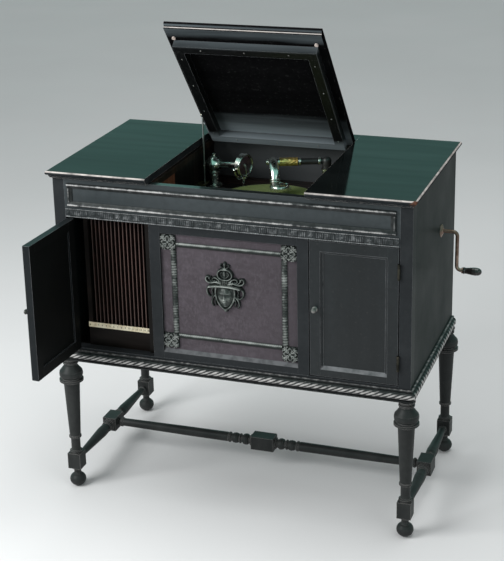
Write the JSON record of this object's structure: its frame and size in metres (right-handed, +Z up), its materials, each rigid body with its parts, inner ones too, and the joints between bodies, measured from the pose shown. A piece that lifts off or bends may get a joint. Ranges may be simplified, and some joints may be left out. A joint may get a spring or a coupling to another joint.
{
  "type": "disc phonograph",
  "caption": "Console disc phonograph: black cabinet on turned legs, lifting lid over a turntable and tonearm, two doors, record rack, grille and side crank.",
  "frame": {"origin": "middle of the footprint of the whole piece at floor level, with the left door and the crank as pictured", "axes": "+X to the right seen from the front, +Y to the back, +Z up"},
  "size_m": [1.1096, 0.7817, 1.3175],
  "materials": {
    "black_lacquer": "gloss black lacquer, worn at the edges",
    "brown_wood": "stained inner wood",
    "antiqued_carving": "carved, dark with rubbed highlights",
    "nickel": "nickel plate",
    "gilt_brass": "dull brass",
    "motor_iron": "black paint",
    "grille_fabric": "woven cloth",
    "table_felt": "felt",
    "ivory": "ivory strip",
    "buffer_rubber": "pale rubber",
    "grip_black": "black gloss"
  },
  "bodies": {
    "cabinet": {"side_left": "black_lacquer", "side_right": "black_lacquer", "front_frame": "black_lacquer", "back_panel": "brown_wood", "bottom_board": "brown_wood", "partition_left": "brown_wood", "partition_right": "brown_wood", "apron": "black_lacquer", "apron_moulding": "antiqued_carving", "frieze_carving": "antiqued_carving", "base_moulding": "antiqued_carving", "top_left": "black_lacquer", "top_right": "black_lacquer", "top_back": "black_lacquer", "legs": "black_lacquer", "side_stretchers": "black_lacquer", "centre_stretcher": "black_lacquer", "cleats": "brown_wood", "motor_board": "brown_wood", "hinges_fixed": "gilt_brass", "stay_guide": "gilt_brass", "grille_frame": "black_lacquer", "grille_board": "brown_wood", "grille_cloth": "grille_fabric", "grille_mouldings": "antiqued_carving", "rosettes": "antiqued_carving", "mask": "antiqued_carving", "rack_case": "brown_wood", "record_dividers": "brown_wood", "index_strip": "ivory", "escutcheon": "gilt_brass", "motor_frame": "motor_iron", "tonearm_base": "nickel", "spare_soundbox": "nickel", "horn": "motor_iron"},
    "lid": {"lid_panel": "black_lacquer", "lid_frame": "black_lacquer", "lid_buffers": "buffer_rubber", "lid_hardware": "gilt_brass"},
    "stay": {"stay_rod": "nickel"},
    "left_door": {"left_door": "black_lacquer", "left_door_knob": "gilt_brass", "left_door_leaves": "gilt_brass"},
    "right_door": {"right_door": "black_lacquer", "right_door_knob": "gilt_brass", "right_door_leaves": "gilt_brass"},
    "turntable": {"turntable": "motor_iron", "felt": "table_felt", "spindle": "nickel", "spindle_gears": "gilt_brass"},
    "intermediate": {"intermediate_gear": "gilt_brass"},
    "barrel": {"spring_barrel": "gilt_brass"},
    "governor": {"governor": "gilt_brass"},
    "winding": {"winding_arbor": "gilt_brass"},
    "crank": {"crank": "nickel"},
    "grip": {"crank_grip": "grip_black"},
    "tonearm": {"tonearm": "nickel"},
    "reproducer": {"reproducer": "nickel"},
    "brake": {"brake_lever": "nickel"},
    "speed": {"speed_knob": "nickel"}
  },
  "joints": [
    {"name": "lid_hinge", "type": "hinge", "parent": "cabinet", "child": "lid", "pos_m": [-0.04525, 0.32136, 0.9437], "axis": [-1, 0, 0], "range_deg": [-50, 0]},
    {"name": "left_door_hinge", "type": "hinge", "parent": "cabinet", "child": "left_door", "pos_m": [-0.49975, -0.15644, 0.62], "axis": [0, 0, -1], "range_deg": [-93, 7]},
    {"name": "right_door_hinge", "type": "hinge", "parent": "cabinet", "child": "right_door", "pos_m": [0.40925, -0.15644, 0.62], "axis": [0, 0, 1], "range_deg": [0, 100]},
    {"name": "tonearm_swing", "type": "hinge", "parent": "cabinet", "child": "tonearm", "pos_m": [0.10675, 0.24636, 0.898], "axis": [0, 0, -1], "range_deg": [-8, 24]},
    {"name": "reproducer_turn", "type": "hinge", "parent": "tonearm", "child": "reproducer", "pos_m": [0.10675, 0.24636, 0.898], "axis": [-0.9455, -0.3256, 0], "range_deg": [0, 35]},
    {"name": "turntable_spin", "type": "hinge", "parent": "cabinet", "child": "turntable", "pos_m": [-0.01525, 0.08936, 0.82], "axis": [0, 0, 1], "continuous": true},
    {"name": "intermediate_spin", "type": "hinge", "parent": "cabinet", "child": "intermediate", "pos_m": [-0.04426, 0.14188, 0.66], "axis": [0, 0, 1], "continuous": true},
    {"name": "barrel_spin", "type": "hinge", "parent": "cabinet", "child": "barrel", "pos_m": [-0.09925, 0.18836, 0.7], "axis": [0, 0, 1], "continuous": true},
    {"name": "governor_spin", "type": "hinge", "parent": "cabinet", "child": "governor", "pos_m": [0.00725, 0.05039, 0.7], "axis": [0, 0, 1], "continuous": true},
    {"name": "crank_turn", "type": "hinge", "parent": "cabinet", "child": "crank", "pos_m": [0.44275, 0.18836, 0.745], "axis": [1, 0, 0], "continuous": true},
    {"name": "winding_spin", "type": "hinge", "parent": "cabinet", "child": "winding", "pos_m": [-0.09925, 0.18836, 0.74], "axis": [0, 0, 1], "continuous": true},
    {"name": "grip_spin", "type": "hinge", "parent": "crank", "child": "grip", "pos_m": [0.50475, 0.18836, 0.637], "axis": [1, 0, 0], "continuous": true},
    {"name": "stay_pivot", "type": "hinge", "parent": "lid", "child": "stay", "pos_m": [-0.24725, 0.2237, 1.01187], "axis": [-1, 0, 0], "range_deg": [0, 40.24]},
    {"name": "brake_swing", "type": "hinge", "parent": "cabinet", "child": "brake", "pos_m": [0.13275, -0.05764, 0.8], "axis": [0, 0, -1], "range_deg": [0, 20]},
    {"name": "speed_turn", "type": "hinge", "parent": "cabinet", "child": "speed", "pos_m": [-0.21525, -0.08264, 0.8], "axis": [0, 0, 1], "range_deg": [-120, 120]}
  ],
  "couplings": [
    {"joint": "stay_pivot", "follows": "lid_hinge", "ratio": -0.80468},
    {"joint": "intermediate_spin", "follows": "turntable_spin", "ratio": -0.25},
    {"joint": "barrel_spin", "follows": "turntable_spin", "ratio": 0.05},
    {"joint": "governor_spin", "follows": "turntable_spin", "ratio": -5},
    {"joint": "winding_spin", "follows": "crank_turn", "ratio": 0.33333}
  ]
}
